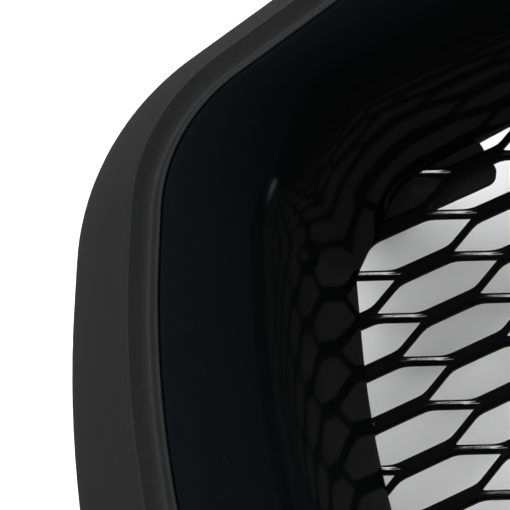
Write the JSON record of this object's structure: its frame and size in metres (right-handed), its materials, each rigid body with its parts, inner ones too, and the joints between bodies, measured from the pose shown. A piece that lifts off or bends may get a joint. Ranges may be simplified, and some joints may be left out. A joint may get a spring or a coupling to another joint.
{
  "type": "vehicle grille",
  "caption": "Black front grille: satin bezel and glossy funnel surround around a flat honeycomb insert, on four rear corner brackets.",
  "frame": {"origin": "middle of the four foot holes, on the plane the feet rest on", "axes": "+X across the grille to its right, +Y to its upper edge, +Z out of its front face"},
  "size_m": [0.728, 0.409, 0.1125],
  "materials": {
    "satin_black": "satin moulded, fine grain",
    "piano_black": "high gloss, polished",
    "coated_mesh": "black coat, half gloss",
    "moulded_black": "moulded, matt",
    "coated_steel": "black coat, matt",
    "zinc_black": "black zinc",
    "spring_steel": "bright spring steel",
    "nylon_black": "moulded nylon",
    "foam": "closed-cell foam",
    "edge_rubber": "extruded rubber"
  },
  "bodies": {
    "grille": {"bezel_screws": "zinc_black", "bracket_lower_left": "coated_steel", "bracket_lower_right": "coated_steel", "bracket_screws": "zinc_black", "bracket_upper_left": "coated_steel", "bracket_upper_right": "coated_steel", "clamp_frame": "moulded_black", "edge_trim_left": "edge_rubber", "edge_trim_right": "edge_rubber", "gloss_surround": "piano_black", "honeycomb_insert": "coated_mesh", "lower_foam_seal": "foam", "lower_rail": "moulded_black", "lower_rail_screws": "zinc_black", "mesh_screws": "zinc_black", "outer_bezel": "satin_black", "rivet_sleeves": "nylon_black", "spring_clips": "spring_steel", "upper_foam_seal": "foam", "upper_rail": "moulded_black", "upper_rail_screws": "zinc_black"},
    "rivet_pin_1": {"rivet_pin_1": "nylon_black"},
    "rivet_pin_2": {"rivet_pin_2": "nylon_black"},
    "rivet_pin_3": {"rivet_pin_3": "nylon_black"},
    "rivet_pin_4": {"rivet_pin_4": "nylon_black"}
  },
  "joints": [
    {"name": "rivet_pin_1_slide", "type": "slide", "parent": "grille", "child": "rivet_pin_1", "axis": [0, 0, 1], "range_m": [0, 0.006]},
    {"name": "rivet_pin_2_slide", "type": "slide", "parent": "grille", "child": "rivet_pin_2", "axis": [0, 0, 1], "range_m": [0, 0.006]},
    {"name": "rivet_pin_3_slide", "type": "slide", "parent": "grille", "child": "rivet_pin_3", "axis": [0, 0, 1], "range_m": [0, 0.006]},
    {"name": "rivet_pin_4_slide", "type": "slide", "parent": "grille", "child": "rivet_pin_4", "axis": [0, 0, 1], "range_m": [0, 0.006]}
  ]
}
